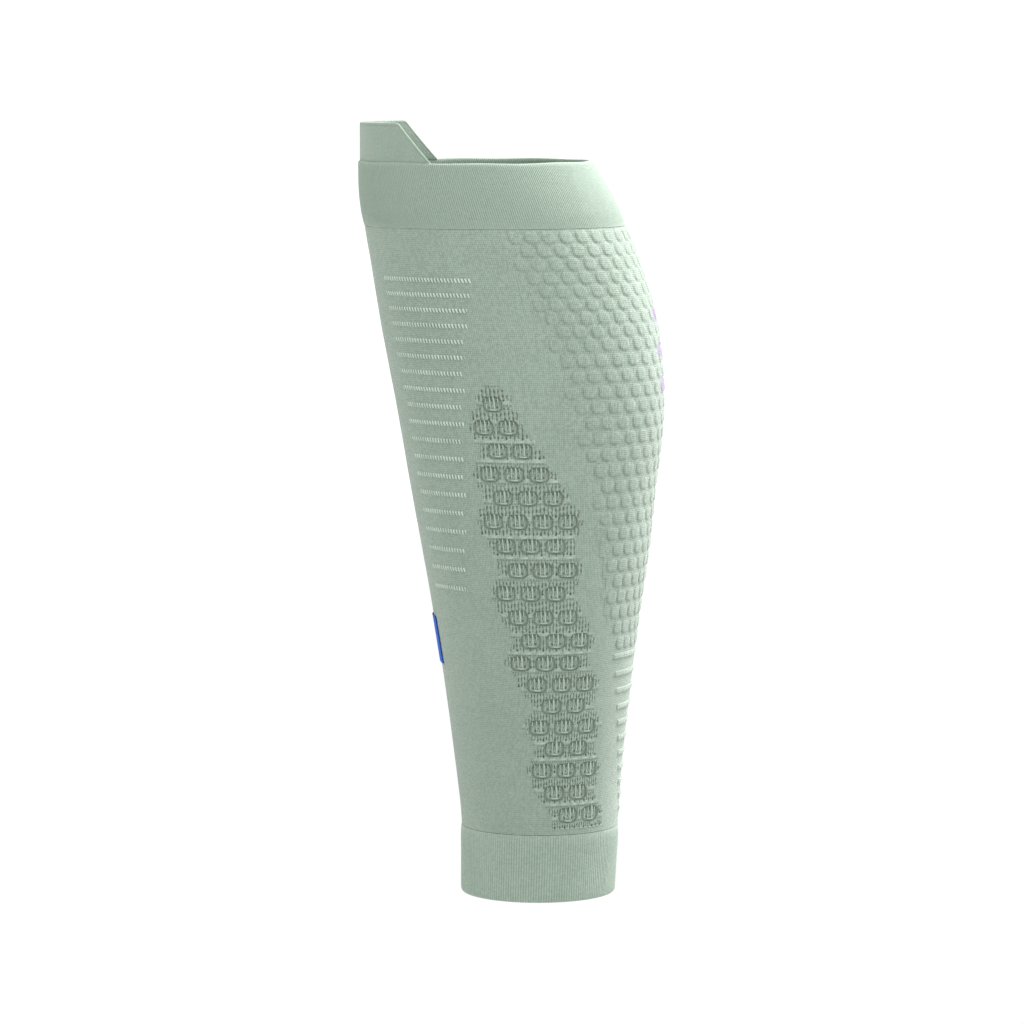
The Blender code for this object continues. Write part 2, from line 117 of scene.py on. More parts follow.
def leg_points(share, height, lift):
    """Points of the knit. share says how far round they lie, from 0 at the shin to 1 at the
    back, and less than 0 on the inner side. lift is off the plain knit's outer face."""
    share, height, lift = np.broadcast_arrays(share, height, lift)
    share = (share + 1) % 2 - 1
    half_width, middle, to_front, to_back, girth = (
        np.interp(height, LEG_HEIGHTS, LEG_FORM[:, column]) for column in range(5)
    )
    row = np.clip(height / LEG_STEP, 0, len(LEG_HEIGHTS) - 1.001)
    across = np.clip(np.abs(share) * WAY_STEPS, 0, WAY_STEPS - 0.001)
    low, left = row.astype(int), across.astype(int)
    up, right = row - low, across - left
    angle = (
        LEG_ANGLES[low, left] * (1 - up) * (1 - right)
        + LEG_ANGLES[low, left + 1] * (1 - up) * right
        + LEG_ANGLES[low + 1, left] * up * (1 - right)
        + LEG_ANGLES[low + 1, left + 1] * up * right
    )
    reach = np.where(angle < math.pi / 2, to_front, to_back)
    out_x, out_y = np.sin(angle) / half_width, -np.cos(angle) / reach
    length = np.hypot(out_x, out_y)
    x = half_width * np.sin(angle) + out_x / length * lift
    y = middle - reach * np.cos(angle) + out_y / length * lift
    return np.stack([x * np.where(share < 0, -1, 1), y, height], axis=-1)


FLAT_HALF = float(half_girth(0.72 * SLEEVE_HEIGHT))
WAVE_DOWN = 0.006


def knit_piece(name, points, faces, pattern, painted_shade, material, crease=60):
    """A knitted piece. pattern is each face corner's place on the flat pattern in millimetres,
    and the next argument is each point's painted shade: how far its colour is darkened toward the
    shade colour, as shade would fall where it lies deep between the stitches. Points that no face
    uses are left out."""
    used = np.zeros(len(points), bool)
    used[[corner for face in faces for corner in face]] = True
    number = (np.cumsum(used) - 1).tolist()
    faces = [tuple(number[corner] for corner in face) for face in faces]
    mesh = bpy.data.meshes.new(name)
    mesh.from_pydata(np.array(points)[used], [], faces)
    mesh.uv_layers.new(name="pattern").data.foreach_set("uv", np.ravel(pattern))
    depths = mesh.attributes.new("painted_shade", "FLOAT", "POINT")
    depths.data.foreach_set("value", np.ravel(painted_shade)[used])
    mesh.shade_smooth()
    mesh.set_sharp_from_angle(angle=math.radians(crease))
    mesh.materials.append(material)
    piece = bpy.data.objects.new(name, mesh)
    bpy.context.scene.collection.objects.link(piece)
    return piece


def band(name, profile, ribs, depth, groove_shade, material, wave=0.0):
    """A ribbed band round the leg. profile goes round its section: height, lift, rib strength.
    depth is the ribs' relief, the groove value is the painted shade on the yarn between them,
    and wave is how far the sleeve's rim rises and falls."""
    around = np.linspace(-1, 1, 4 * ribs + 1)
    height, lift, strength = (np.array(column)[:, None] for column in zip(*profile))
    rib = np.tile([-1.0, 0.35, 0.8, 0.35], ribs + 1)[: len(around)]
    share = np.broadcast_to(around, (len(profile), len(around)))
    rise = wave * np.sin(5.3 * math.pi * share + 0.7) * np.cos(3 * math.pi * share)
    top = np.clip((height - SLEEVE_HEIGHT + WAVE_DOWN) / WAVE_DOWN, 0, 1)
    out = np.where(lift > -KNIT_WALL / 2, 1, -1)
    points = leg_points(share, height + rise * top, lift + out * rib * strength * depth)
    # Painted shade in the grooves between the ribs
    painted_shade = np.where(rib < -0.5, groove_shade, 0.0) * strength
    along = np.cumsum(np.hypot(np.diff(height[:, 0], prepend=0), np.diff(lift[:, 0], prepend=0)))
    rows, columns = len(profile), len(around) - 1
    row, column = (grid.ravel() for grid in np.mgrid[0:rows, 0:columns])
    ahead, beside = (row + 1) % rows, (column + 1) % columns
    corners = [(row, column), (row, beside), (ahead, beside), (ahead, column)]
    faces = np.stack([a * columns + b for a, b in corners], axis=1)
    flat = [(row, column), (row, column + 1), (row + 1, column + 1), (row + 1, column)]
    run = np.append(along, along[-1] + 0.0005) * 1000
    pattern = np.stack([np.stack([around[b] * FLAT_HALF * 1000, run[a]], -1) for a, b in flat], 1)
    kept = points[:, :columns].reshape(-1, 3)
    return knit_piece(name, kept, faces, pattern, painted_shade[:, :columns], material)


def maths(tree, operation, *values):
    """A math node in a tree, fed by sockets or numbers, and its result."""
    node = tree.nodes.new("ShaderNodeMath")
    node.operation = operation
    for socket, value in zip(node.inputs, values):
        if isinstance(value, bpy.types.NodeSocket):
            tree.links.new(value, socket)
        else:
            socket.default_value = value
    return node.outputs[0]


def effect_group(name, inputs, outputs):
    """An empty shader node group with named sockets: the tree, its inputs and its outputs."""
    tree = bpy.data.node_groups.new(name, "ShaderNodeTree")
    for label, kind in inputs:
        tree.interface.new_socket(label, in_out="INPUT", socket_type=kind)
    for label, kind in outputs:
        tree.interface.new_socket(label, in_out="OUTPUT", socket_type=kind)
    return tree, tree.nodes.new("NodeGroupInput").outputs, tree.nodes.new("NodeGroupOutput").inputs


def flat_place(tree):
    """A point's place across and up the flat pattern, as sockets in a tree."""
    place = tree.nodes.new("ShaderNodeUVMap")
    place.uv_map = "pattern"
    parts = tree.nodes.new("ShaderNodeSeparateXYZ")
    tree.links.new(place.outputs["UV"], parts.inputs[0])
    return parts.outputs["X"], parts.outputs["Y"]


# The stitches of a plain knit: rounded wales that run up the leg, crossed by slanted courses
stitches, given, found = effect_group(
    "Knit stitches",
    [("Wale", "NodeSocketFloat"), ("Course", "NodeSocketFloat"), ("Slant", "NodeSocketFloat")],
    [("Height", "NodeSocketFloat"), ("Tone", "NodeSocketFloat")],
)
across, up = flat_place(stitches)
wale = maths(stitches, "DIVIDE", across, given["Wale"])
course = maths(stitches, "DIVIDE", up, given["Course"])
off_middle = maths(stitches, "SUBTRACT", maths(stitches, "FRACT", wale), 0.5)
off_middle = maths(stitches, "ABSOLUTE", off_middle)
leaning = maths(stitches, "SUBTRACT", course, maths(stitches, "MULTIPLY", off_middle, given["Slant"]))
legs = maths(stitches, "COSINE", maths(stitches, "MULTIPLY", off_middle, math.pi))
turns = maths(stitches, "COSINE", maths(stitches, "MULTIPLY", leaning, 2 * math.pi))
loops = maths(stitches, "MULTIPLY_ADD", turns, 0.4, 0.6)
stitches.links.new(maths(stitches, "MULTIPLY", legs, loops), found["Height"])
which = stitches.nodes.new("ShaderNodeCombineXYZ")
stitches.links.new(maths(stitches, "FLOOR", wale), which.inputs["X"])
stitches.links.new(maths(stitches, "FLOOR", leaning), which.inputs["Y"])
chance = stitches.nodes.new("ShaderNodeTexWhiteNoise")
stitches.links.new(which.outputs[0], chance.inputs["Vector"])
stitches.links.new(chance.outputs["Value"], found["Tone"])

# The colour of the knit: uneven from stitch to stitch and streaked along the wales, with painted
# shade that darkens it where the yarn lies deep, and painted light and shade on each stitch
STITCH_SHARE = 1.6
yarn_colour, given, found = effect_group(
    "Yarn colour",
    [
        ("Colour", "NodeSocketColor"),
        ("Shade colour", "NodeSocketColor"),
        ("Height", "NodeSocketFloat"),
        ("Contrast", "NodeSocketFloat"),
        ("Tone", "NodeSocketFloat"),
        ("Unevenness", "NodeSocketFloat"),
    ],
    [("Colour", "NodeSocketColor"), ("Roughness", "NodeSocketFloat")],
)
place = yarn_colour.nodes.new("ShaderNodeUVMap")
place.uv_map = "pattern"
stretch = yarn_colour.nodes.new("ShaderNodeMapping")
stretch.inputs["Scale"].default_value = (1.3, 0.05, 1.0)
yarn_colour.links.new(place.outputs["UV"], stretch.inputs["Vector"])
streaks = yarn_colour.nodes.new("ShaderNodeTexNoise")
streaks.inputs["Scale"].default_value = 1.0
streaks.inputs["Detail"].default_value = 2.0
yarn_colour.links.new(stretch.outputs[0], streaks.inputs["Vector"])
body_place = yarn_colour.nodes.new("ShaderNodeTexCoord")
clouds = yarn_colour.nodes.new("ShaderNodeTexNoise")
clouds.inputs["Scale"].default_value = 70.0
clouds.inputs["Detail"].default_value = 4.0
yarn_colour.links.new(body_place.outputs["Object"], clouds.inputs["Vector"])
total = maths(yarn_colour, "ADD", streaks.outputs["Fac"], clouds.outputs["Fac"])
total = maths(yarn_colour, "MULTIPLY_ADD", given["Tone"], STITCH_SHARE, total)
off_mean = maths(yarn_colour, "SUBTRACT", total, 1 + STITCH_SHARE / 2)
uneven = maths(yarn_colour, "MULTIPLY", off_mean, given["Unevenness"])
# Painted light and shade: lighter where a stitch stands high, darker where it lies low
stitch_shading = maths(yarn_colour, "SUBTRACT", given["Height"], 0.4)
stitch_shading = maths(yarn_colour, "MULTIPLY_ADD", stitch_shading, given["Contrast"], 0.98)
light = maths(yarn_colour, "ADD", stitch_shading, uneven)
# Painted shade: the knit's per-point mask mixes its colour toward the shade colour
shade_paint = yarn_colour.nodes.new("ShaderNodeAttribute")
shade_paint.attribute_name = "painted_shade"
shaded = yarn_colour.nodes.new("ShaderNodeMix")
shaded.data_type = "RGBA"
shaded.clamp_factor = True
yarn_colour.links.new(shade_paint.outputs["Fac"], shaded.inputs["Factor"])
yarn_colour.links.new(given["Colour"], shaded.inputs["A"])
yarn_colour.links.new(given["Shade colour"], shaded.inputs["B"])
toned = yarn_colour.nodes.new("ShaderNodeVectorMath")
toned.operation = "SCALE"
yarn_colour.links.new(shaded.outputs["Result"], toned.inputs[0])
yarn_colour.links.new(light, toned.inputs["Scale"])
yarn_colour.links.new(toned.outputs[0], found["Colour"])
rough = maths(yarn_colour, "MULTIPLY_ADD", uneven, -0.6, 0.82)
yarn_colour.links.new(rough, found["Roughness"])


def knit_material(name, colour, shade_paint, wale, course, slant=0.9, relief=0.0002, stitch_shade=0.4, uneven=0.10):
    """Knitted fabric whose stitches are a wale wide and a course tall, in millimetres. Its colour is lighter
    on its stitches' tops and darker between them, as painted light and shade.
    """
    material = bpy.data.materials.new(name)
    material.use_nodes = True
    tree = material.node_tree
    shader = tree.nodes["Principled BSDF"]
    knit = tree.nodes.new("ShaderNodeGroup")
    knit.node_tree = stitches
    for label, value in (("Wale", wale), ("Course", course), ("Slant", slant)):
        knit.inputs[label].default_value = value
    yarn = tree.nodes.new("ShaderNodeGroup")
    yarn.node_tree = yarn_colour
    yarn.inputs["Colour"].default_value = (*colour, 1)
    yarn.inputs["Shade colour"].default_value = (*shade_paint, 1)
    yarn.inputs["Contrast"].default_value = stitch_shade
    yarn.inputs["Unevenness"].default_value = uneven
    tree.links.new(knit.outputs["Height"], yarn.inputs["Height"])
    tree.links.new(knit.outputs["Tone"], yarn.inputs["Tone"])
    bump = tree.nodes.new("ShaderNodeBump")
    bump.inputs["Distance"].default_value = relief
    bump.inputs["Strength"].default_value = 0.8
    tree.links.new(knit.outputs["Height"], bump.inputs["Height"])
    tree.links.new(yarn.outputs["Colour"], shader.inputs["Base Color"])
    tree.links.new(yarn.outputs["Roughness"], shader.inputs["Roughness"])
    tree.links.new(bump.outputs["Normal"], shader.inputs["Normal"])
    shader.inputs["Specular IOR Level"].default_value = 0.25
    shader.inputs["Sheen Weight"].default_value = 0.30
    shader.inputs["Sheen Roughness"].default_value = 0.40
    return material


ANKLE_WALE = 2 * FLAT_HALF * 1000 / ANKLE_RIBS
ANKLE_SAGE = (0.262, 0.341, 0.276)
rib_knit = knit_material(
    "sage_rib_knit", ANKLE_SAGE, SAGE_SHADE, ANKLE_WALE, 0.66, relief=0.0001, stitch_shade=0.3
)
hem_up = [(0.0000, -0.0004, 0.3), (0.0001, -0.0001, 0.6), (0.0004, 0.0002, 0.8), (0.0010, 0.0005, 1.0)]
face_up = [(height, CUFF_RISE, 1.0) for height in np.linspace(0.0020, 0.0245, 10)]
seam_over = [(0.0265, 0.0005, 1.0), (0.0285, 0.00035, 1.0), (0.0298, 0.0002, 0.7), (0.0306, 0.00005, 0.3)]
inner_down = [(height, -KNIT_WALL, 1.0) for height in np.linspace(0.0306, 0.0010, 8)]
hem_under = [(0.0003, -0.0010, 0.5)]
ankle_profile = hem_up + face_up + seam_over + inner_down + hem_under
ankle_cuff = band("ankle_rib_band", ankle_profile, ANKLE_RIBS, 0.00013, 0.15, rib_knit)
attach(ankle_cuff, "root")
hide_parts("ankle_cuff")

# Sleeve knit
# The plain jersey between the cuffs, knitted round in a fine gauge. It is open where the net
# vents and the padded calf zone take over, stitch for stitch, so its edges step.
KNEE_CUFF_HEIGHT = 0.0288
ZONE_GAP = 0.0003
BLOCKS_ROUND = 150
BLOCKS_UP = 112
JERSEY_WALE = 0.88
JERSEY_COURSE = 0.86
BODY_LOW = ANKLE_CUFF_HEIGHT + ZONE_GAP
BODY_HIGH = SLEEVE_HEIGHT - KNEE_CUFF_HEIGHT - ZONE_GAP
BUBBLE_FOOT = 0.1128
FIRST_BUBBLE = [
    # height, share round that the foremost bubble is beyond
    (0.1169, 0.774),
    (0.1387, 0.734),
    (0.1460, 0.741),
    (0.1603, 0.718),
    (0.1677, 0.701),
    (0.1817, 0.668),
    (0.2107, 0.618),
    (0.2246, 0.604),
    (0.2385, 0.594),
    (0.2521, 0.566),
    (0.2642, 0.556),
    (0.2763, 0.547),
    (0.2882, 0.528),
    (0.3000, 0.522),
]
NET_TOP = 0.7185
NET_TIP = 0.2355
NET_BORDER = 0.0030
NET_PITCH = 0.0631 * FLAT_HALF
NET_FOOT = 0.0054
NET_CHART = [
    # first cell's share of the way round, number of cells
    (0.403, 1),
    (0.374, 2),
    (0.407, 2),
    (0.382, 3),
    (0.416, 3),
    (0.384, 4),
    (0.415, 3),
    (0.446, 3),
    (0.406, 3),
    (0.441, 3),
    (0.478, 3),
    (0.441, 3),
    (0.494, 3),
    (0.545, 2),
    (0.501, 3),
    (0.558, 2),
    (0.510, 3),
    (0.558, 2),
    (0.615, 2),
]
CELL_GAP_ACROSS = 0.0018
CELL_GAP_UP = 0.0030
NET_TIP_WIDTH = 0.01
BUBBLE_BORDER = 0.024
CELL_HALF_WIDE = (NET_PITCH - CELL_GAP_ACROSS) / 2
NET_HIGHEST = BODY_LOW + (BODY_HIGH - BODY_LOW) * NET_TOP
NET_DOWN = (NET_HIGHEST - BODY_LOW - NET_FOOT + 0.0037 / 2) / (len(NET_CHART) - 0.5)
CELL_HALF_TALL = (NET_DOWN - CELL_GAP_UP) / 2
NET_ROWS = np.arange(len(NET_CHART))
# The rows hang lower in the middle of the net, by up to 3 mm
NET_SAG = 0.0006 * (NET_ROWS < 8) + 0.0030 * np.exp(-(((NET_ROWS - 10.1) / 3.8) ** 2))
NET_HEIGHTS = NET_HIGHEST - NET_DOWN * NET_ROWS - NET_SAG
NET_FIRST = np.array([share for share, count in NET_CHART])
NET_COUNT = np.array([count for share, count in NET_CHART])
NET_GIRTH = half_girth(NET_HEIGHTS)


def in_bubble_zone(share, height):
    """Where the padded calf zone is: a strip of plain knit wider than its bubbles."""
    front = np.interp(height, *zip(*FIRST_BUBBLE)) - BUBBLE_BORDER
    return (np.abs(share) > front) & (height > BUBBLE_FOOT)


def in_vent(share, height):
    """Where a vent is: round its rows of cells, with a border, and narrow at its tip."""
    last = NET_FIRST + (NET_COUNT - 1) * NET_PITCH / NET_GIRTH
    margin = (CELL_HALF_WIDE + NET_BORDER) / NET_GIRTH
    top = NET_HEIGHTS[0] + CELL_HALF_TALL
    heights = np.concatenate([NET_HEIGHTS[::-1], [top, NET_TIP]])
    front = np.concatenate([(NET_FIRST - margin)[::-1], [NET_FIRST[0] - margin[0], NET_FIRST[0]]])
    back = np.concatenate([(last + margin)[::-1], [last[0] + margin[0], last[0] + NET_TIP_WIDTH]])
    around = np.abs(share)
    beside = (around > np.interp(height, heights, front)) & (around < np.interp(height, heights, back))
    return beside & (height < NET_TIP) & (height > NET_HEIGHTS[-1] - CELL_HALF_TALL - NET_BORDER)


block_shares, block_heights = np.meshgrid(
    -1 + 2 * (np.arange(BLOCKS_ROUND) + 0.5) / BLOCKS_ROUND,
    BODY_LOW + (BODY_HIGH - BODY_LOW) * (np.arange(BLOCKS_UP) + 0.5) / BLOCKS_UP,
)
bubble_blocks = in_bubble_zone(block_shares, block_heights)
vent_blocks = in_vent(block_shares, block_heights)


# Painted shade on the knit's inner face, inside the sleeve
LINING_SHADE = 0.25


def knit_shell(name, blocks, cuts, relief, material):
    """A zone of the knit made of blocks of stitches, each cut into smaller faces. relief gives
    each point's lift and its painted shade."""
    fine = np.repeat(np.repeat(blocks, cuts, axis=0), cuts, axis=1)
    rows, columns = fine.shape
    shares = np.linspace(-1, 1, columns + 1)
    heights = np.linspace(BODY_LOW, BODY_HIGH, rows + 1)
    share, height = np.meshgrid(shares, heights)
    lift, painted_shade = relief(share, height)
    outer = leg_points(share[:, :-1], height[:, :-1], lift[:, :-1]).reshape(-1, 3)
    inner = leg_points(share[:, :-1], height[:, :-1], -KNIT_WALL).reshape(-1, 3)
    under = len(outer)

    def spot(row, column):
        return row * columns + column % columns

    def flat_spot(row, column):
        return np.stack([shares[column] * FLAT_HALF * 1000, heights[row] * 1000], axis=-1)

    row, column = np.nonzero(fine)
    ring = [(row, column), (row, column + 1), (row + 1, column + 1), (row + 1, column)]
    quads = [np.stack([spot(*corner) for corner in ring], axis=1)]
    flats = [np.stack([flat_spot(*corner) for corner in ring], axis=1)]
    beside = [
        (np.roll(fine, 1, axis=1), (0, 0), (1, 0)),
        (np.roll(fine, -1, axis=1), (1, 1), (0, 1)),
        (np.vstack([np.zeros((1, columns), bool), fine[:-1]]), (0, 1), (0, 0)),
        (np.vstack([fine[1:], np.zeros((1, columns), bool)]), (1, 0), (1, 1)),
    ]
    for neighbour, start, end in beside:
        row, column = np.nonzero(fine & ~neighbour)
        first, last = (row + start[0], column + start[1]), (row + end[0], column + end[1])
        wall = [spot(*first), spot(*last), spot(*last) + under, spot(*first) + under]
        quads.append(np.stack(wall, axis=1))
        ends = flat_spot(*first), flat_spot(*last)
        flats.append(np.stack([ends[0], ends[1], ends[1], ends[0]], axis=1))
    lined, lined_pattern = lining(blocks, cuts, spot, flat_spot)
    faces = np.concatenate(quads).tolist() + [[corner + under for corner in face] for face in lined]
    pattern = [np.concatenate(flats).reshape(-1, 2), np.array(lined_pattern)]
    points = np.concatenate([outer, inner])
    shaded = np.concatenate([painted_shade[:, :-1].ravel(), np.full(under, LINING_SHADE)])
    return knit_piece(name, points, faces, np.concatenate(pattern), shaded, material)


def lining(blocks, cuts, spot, flat_spot):
    """The inner face of a zone, in whole blocks. A block's edge on the zone's border keeps all
    its points, so that the wall there meets it."""
    faces, pattern = [], []
    rows, columns = blocks.shape
    for row, column in zip(*np.nonzero(blocks)):
        low, left, high, right = row * cuts, column * cuts, (row + 1) * cuts, (column + 1) * cuts
        sides = [
            (row == 0 or not blocks[row - 1, column], [(low, left + k) for k in range(cuts)]),
            (not blocks[row, (column + 1) % columns], [(low + k, right) for k in range(cuts)]),
            (row == rows - 1 or not blocks[row + 1, column], [(high, right - k) for k in range(cuts)]),
            (not blocks[row, column - 1], [(high - k, left) for k in range(cuts)]),
        ]
        around = [place for border, line in sides for place in (line if border else line[:1])]
        around.reverse()
        faces.append([int(spot(*place)) for place in around])
        pattern += [flat_spot(*place) for place in around]
    return faces, pattern


def plain_relief(share, height):
    """The plain jersey: its tension varies a little round the leg."""
    return 0.00005 * np.sin(share * 40) * np.sin(height * 300), np.zeros_like(share)


plain_blocks = ~bubble_blocks & ~vent_blocks
jersey = knit_material("sage_jersey", SAGE, SAGE_SHADE, JERSEY_WALE, JERSEY_COURSE, uneven=0.12)
sleeve_knit = knit_shell("sleeve_knit", plain_blocks, 2, plain_relief, jersey)
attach(sleeve_knit, "root")
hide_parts("sleeve_body")

# Off the leg it is a seamless tube, which the leg widens by about a seventh
tube_long = BODY_HIGH - BODY_LOW
block_areas = 2 * half_girth(block_heights) / BLOCKS_ROUND * tube_long / BLOCKS_UP

# Shin ridges
# Nineteen ribs in relief on either side of the shin, that press on the muscle. Each is a course
# of slanted tuck stitches over a thicker laid-in yarn, with painted shade between the stitches and
# along the ridge's edges, and a lighter colour as a painted highlight on the stitches.
SHIN_RIDGES = 19
SHIN_RIDGE_TOP = 0.2804
SHIN_RIDGE_PITCH = 0.00652
SHIN_RIDGE_WIDENING = 0.0000642
SHIN_RIDGE_TALL = 0.0021
SHIN_RIDGE_RISE = 0.00075
SHIN_RIDGE_FRONT = 0.126
TUCK_PITCH = 0.00164
SHIN_RIDGE_BACK = [
    # height, share round
    (0.1426, 0.276),
    (0.1842, 0.306),
    (0.2166, 0.318),
    (0.2466, 0.345),
    (0.2678, 0.381),
    (0.2814, 0.409),
]
RIDGE_TAPER = 0.0012
RIDGE_FOOT = -0.0004


def rounded(way):
    """The rise of a rounded edge, from 0 at its foot to 1 at the end of its way in."""
    t = np.clip(way, 0, 1)
    return np.sqrt(t * (2 - t))


def raised_ridges(name, ridges, columns, profile, tick, dark, material):
    """Ridges laid on the knit. Each of ridges is (height, first share, last share, tall, rise).
    profile is each row's place across the ridge, its share of the rise and its painted shade, and
    dark is the painted shade where the stitches are low."""
    points, faces, pattern, painted_shade = [], [], [], []
    across, shape, shade = (np.array(column)[:, None] for column in zip(*profile))
    rows = len(profile)
    for height, first, last, tall, rise in ridges:
        count = columns(height, first, last)
        share = np.linspace(first, last, count)[None, :]
        from_end = np.minimum(share - first, last - share) * half_girth(height)
        run = share * half_girth(height)
        stitch = tick(run, across * tall)
        lift = rise * shape * rounded(from_end / RIDGE_TAPER) * stitch - 0.0001
        lift = np.where((shape < 0) | (from_end < 1e-6), RIDGE_FOOT, lift)
        places = leg_points(share, height + across * tall / 2, lift)
        start = len(points)
        points += places.reshape(-1, 3).tolist()
        # Painted shade between the stitches, where they lie low
        low = np.clip(1 - stitch, 0, 1) * dark * np.ones_like(share)
        painted_shade += np.maximum(low, shade).ravel().tolist()
        flat = np.stack(np.broadcast_arrays(run * 1000, (height + across * tall / 2) * 1000), -1)
        flat = flat.reshape(-1, 2)
        row, column = (grid.ravel() for grid in np.mgrid[0 : rows - 1, 0 : count - 1])
        corner = row * count + column
        quads = np.stack([corner, corner + 1, corner + count + 1, corner + count], axis=1)
        column = np.arange(count - 1)
        top = (rows - 1) * count
        base = np.stack([column, column + top, column + top + 1, column + 1], axis=1)
        for block in (quads, base):
            faces += (block + start).tolist()
            pattern += flat[block.ravel()].tolist()
        left, right = np.arange(rows) * count, np.arange(rows) * count + count - 1
        for side in (left.tolist(), right[::-1].tolist()):
            faces.append([place + start for place in side])
            pattern += flat[side].tolist()
    return knit_piece(name, points, faces, pattern, painted_shade, material, crease=75)


def shin_columns(height, first, last):
    return int((last - first) * half_girth(height) / (TUCK_PITCH / 5)) + 1


def tucks(run, across):
    """Slanted tuck stitches along a ridge: high over each yarn and low between them."""
    turn = 0.5 + 0.5 * np.cos(2 * math.pi * (np.abs(run) + 0.11 * across) / TUCK_PITCH)
    return 0.15 + 0.85 * np.clip(1.6 * turn - 0.3, 0, 1)


SHIN_PROFILE = [
    # place across, from -1 to 1, share of the rise, painted shade
    (-1.25, -1.0, 0.30),
    (-1.0, 0.05, 0.30),
    (-0.8, 0.65, 0.0),
    (-0.4, 0.95, 0.0),
    (0.0, 1.0, 0.0),
    (0.4, 0.95, 0.0),
    (0.75, 0.70, 0.0),
    (1.0, 0.05, 0.50),
    (1.25, -1.0, 0.50),
]
shin_ridges = []
ends = list(zip(*SHIN_RIDGE_BACK))
for k in range(SHIN_RIDGES):
    height = SHIN_RIDGE_TOP - SHIN_RIDGE_PITCH * k - SHIN_RIDGE_WIDENING * k * k
    back = float(np.interp(height, *ends)) + (0.004 if k % 2 else -0.002)
    for first, last in ((SHIN_RIDGE_FRONT, back), (-back, -SHIN_RIDGE_FRONT)):
        shin_ridges.append((height, first, last, SHIN_RIDGE_TALL, SHIN_RIDGE_RISE))
# A lighter sage than the sleeve's: a painted highlight on the tuck stitches
TUCK_SAGE_LIT = (0.470, 0.580, 0.488)
tuck_knit = knit_material("sage_tuck_knit", TUCK_SAGE_LIT, SAGE_SHADE, 3.0, 3.0, relief=0.0001, stitch_shade=0.1)
shin_piece = raised_ridges(
    "shin_tuck_ridges", shin_ridges, shin_columns, SHIN_PROFILE, tucks, 0.95, tuck_knit
)
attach(shin_piece, "root")

# Tendon ridges
# Eleven ridges across the back above the ankle cuff, over the tendon. They are wider, lower and
# smoother than those on the shin, because plain knit covers their laid-in yarn.
TENDON_RIDGES = 11
TENDON_RIDGE_TOP = 0.1107
TENDON_RIDGE_PITCH = 0.0082
TENDON_RIDGE_FRONT = 0.775
TENDON_RIDGE_TALL = 0.0029
TENDON_RIDGE_RISE = 0.00062
TENDON_PROFILE = [
    # place across, from -1 to 1, share of the rise, painted shade
    (-1.2, -1.0, 0.32),
    (-1.0, 0.0, 0.32),
    (-0.9, 0.55, 0.12),
    (-0.7, 0.88, 0.0),
    (-0.35, 0.98, 0.0),
    (0.0, 1.0, 0.0),
    (0.35, 0.98, 0.0),
    (0.7, 0.88, 0.0),
    (0.9, 0.55, 0.05),
    (1.0, 0.0, 0.15),
    (1.2, -1.0, 0.15),
]


def tendon_columns(height, first, last):
    return int((last - first) * half_girth(height) / 0.0006) + 1


def loops_along(run, across):
    """The heavy yarn shows through as low swellings along the ridge."""
    return 0.90 + 0.10 * np.cos(2 * math.pi * run / 0.0019) * np.ones_like(across)


tendon_ridges = []
for k in range(TENDON_RIDGES):
    height = TENDON_RIDGE_TOP - TENDON_RIDGE_PITCH * k + 0.0001 * k * k
    front = TENDON_RIDGE_FRONT + 0.0165 * k
    tendon_ridges.append((height, front, 2 - front, TENDON_RIDGE_TALL, TENDON_RIDGE_RISE))
# A lighter copy of the sleeve's sage: a painted highlight on the ridges' faces
TENDON_SAGE_LIT = (0.285, 0.362, 0.298)
tendon_knit = knit_material(
    "sage_tendon_knit", TENDON_SAGE_LIT, SAGE_SHADE, JERSEY_WALE, JERSEY_COURSE, stitch_shade=0.25
)
tendon_piece = raised_ridges(
    "tendon_ridges", tendon_ridges, tendon_columns, TENDON_PROFILE, loops_along, 1.0, tendon_knit
)
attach(tendon_piece, "root")

# Calf bubble panel
# The padded zone over the calf: spacer knit in staggered rows of raised bubbles, rounded
# rectangles that puff out between a plain grid of wales, tightest at their lower front edge.
BUBBLE_ROWS = [
    # row from the top, height
    (0, 0.2996),
    (8, 0.2521),
    (14, 0.2105),
    (27, 0.1169),
]
BUBBLE_HALF_WIDE = 0.0030
BUBBLE_HALF_TALL = 0.0029
BUBBLE_RISE = 0.00040
CALF_SWELL = 0.0014
BUBBLE_PITCHES = [
    # height, share round
    (0.117, 0.0480),
    (0.140, 0.0462),
    (0.160, 0.0490),
    (0.205, 0.0488),
    (0.238, 0.0500),
    (0.264, 0.0492),
    (0.300, 0.0486),
]
BUBBLE_SQUARENESS = 2.7
PINCH_DEPTH = 0.00008
DRAWN_IN = 0.0045
DRAWN_OVER = 0.46
bubble_heights = np.interp(np.arange(BUBBLE_ROWS[-1][0] + 1), *zip(*BUBBLE_ROWS))


def drawn_in(from_back):
    """How far the knit of the calf is drawn towards the shin between the back and its edge."""
    return -DRAWN_IN * np.sin(math.pi * np.clip(from_back / DRAWN_OVER, 0, 1))


